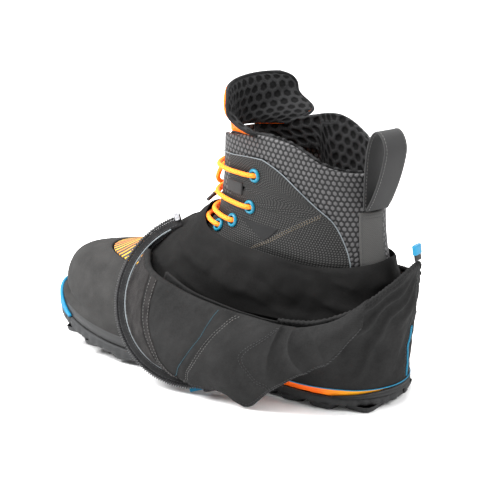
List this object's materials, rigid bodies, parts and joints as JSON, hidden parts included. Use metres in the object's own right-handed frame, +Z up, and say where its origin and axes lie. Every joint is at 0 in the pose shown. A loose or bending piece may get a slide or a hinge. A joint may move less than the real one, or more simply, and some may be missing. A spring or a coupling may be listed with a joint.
{
  "type": "mountaineering boot with integrated gaiter",
  "caption": "Stiff-soled mountaineering boot, left foot, laced inner boot inside a zipped gaiter that is open and pushed down; crampon rims at toe and heel.",
  "frame": {"origin": "on the ground under the centre of the heel tread", "axes": "+X towards the back of the heel (the toe points to -X), -Y towards the outer side of the foot, +Z up"},
  "size_m": [0.3203, 0.1507, 0.2265],
  "materials": {
    "rubber_black": "moulded rubber, satin",
    "rubber_grey": "moulded rubber, satin",
    "midsole_orange": "smooth moulded foam",
    "welt_blue": "smooth moulded plastic",
    "carbon_plate": "pressed fibre plate",
    "lasting_board": "pressed board",
    "footbed": "felt over foam",
    "stiffener": "pressed sheet",
    "upper_fabric": "woven fabric",
    "hex_mesh": "mesh with raised dots",
    "honeycomb_lining": "padded honeycomb mesh",
    "dotted_film": "pressed film with fine dots",
    "stay_film": "ribbed film",
    "smooth_black": "smooth film",
    "tongue_fabric": "padded fabric",
    "eyelet_blue": "satin moulded rings",
    "lace_orange": "round braided cord",
    "aglet_black": "smooth sleeve",
    "webbing_black": "woven webbing",
    "webbing_grey": "woven webbing",
    "toe_fabric": "matt microfibre",
    "stripe_fabric": "fabric with diagonal stripes",
    "softshell": "matt stretch fabric",
    "piping_blue": "stitched cord",
    "facing_grey": "taffeta facing",
    "zip_tape": "woven tape",
    "zip_coil": "moulded teeth",
    "zip_metal": "satin metal",
    "slider_black": "painted metal"
  },
  "bodies": {
    "boot": {"outsole_heel": "rubber_black", "outsole_forefoot": "rubber_grey", "midsole": "midsole_orange", "heel_crampon_rim": "rubber_black", "toe_crampon_rim": "welt_blue", "shank_plate": "carbon_plate", "lasting_board": "lasting_board", "footbed": "footbed", "heel_counter": "stiffener", "toe_stiffener": "stiffener", "vamp": "upper_fabric", "heel_cup": "upper_fabric", "quarter_outer": "hex_mesh", "quarter_inner": "hex_mesh", "collar_lining": "honeycomb_lining", "film_overlay_outer": "dotted_film", "film_overlay_inner": "dotted_film", "lace_stay_outer": "stay_film", "lace_stay_inner": "stay_film", "flex_patch_outer": "smooth_black", "flex_patch_inner": "smooth_black", "tongue_base": "tongue_fabric", "eyelets": "eyelet_blue", "lace": "lace_orange", "webbing_tabs": "webbing_black", "lace_knot": "lace_orange", "bow_loop_front": "lace_orange", "bow_loop_back": "lace_orange", "lace_end_front": "lace_orange", "lace_end_back": "lace_orange", "aglets": "aglet_black", "heel_stay": "webbing_grey", "toe_cover": "toe_fabric", "stripe_panel": "stripe_fabric", "gaiter_wall": "softshell", "gaiter_sleeve": "softshell", "gaiter_flap": "softshell", "rim_elastic": "webbing_black", "hem_piping": "piping_blue", "back_seam_piping": "piping_blue", "zip_facing": "facing_grey", "seam_tape": "facing_grey", "zip_tape_flap": "zip_tape", "zip_chain_flap": "zip_coil", "zip_chain_toe": "zip_coil", "zip_end_stops": "zip_metal"},
    "tongue": {"tongue_top": "honeycomb_lining"},
    "heel_loop": {"pull_loop": "webbing_black"},
    "slider": {"zip_slider": "slider_black"},
    "slider_pull": {"zip_pull": "welt_blue"},
    "rear_tab": {"gaiter_tab": "webbing_black", "gaiter_tab_end": "piping_blue"}
  },
  "joints": [
    {"name": "tongue_flex", "type": "hinge", "parent": "boot", "child": "tongue", "pos_m": [-0.099, 0, 0.1895], "axis": [0, -1, 0], "range_deg": [0, 35]},
    {"name": "heel_loop_flex", "type": "hinge", "parent": "boot", "child": "heel_loop", "pos_m": [0.02553, -0.01117, 0.14835], "axis": [0.4134, 0.9106, 0], "range_deg": [0, 70]},
    {"name": "slider_travel", "type": "hinge", "parent": "boot", "child": "slider", "pos_m": [-0.1044, -0.0424, 0.0645], "axis": [0.197, -0.862, 0.467], "range_deg": [-136, 2]},
    {"name": "pull_swing", "type": "hinge", "parent": "slider", "child": "slider_pull", "pos_m": [-0.07936, -0.06264, 0.00694], "axis": [0.3941, -0.3665, -0.8428], "range_deg": [0, 90]},
    {"name": "rear_tab_flex", "type": "hinge", "parent": "boot", "child": "rear_tab", "pos_m": [0.056, 0, 0.1114], "axis": [0, 1, 0], "range_deg": [0, 60]}
  ]
}
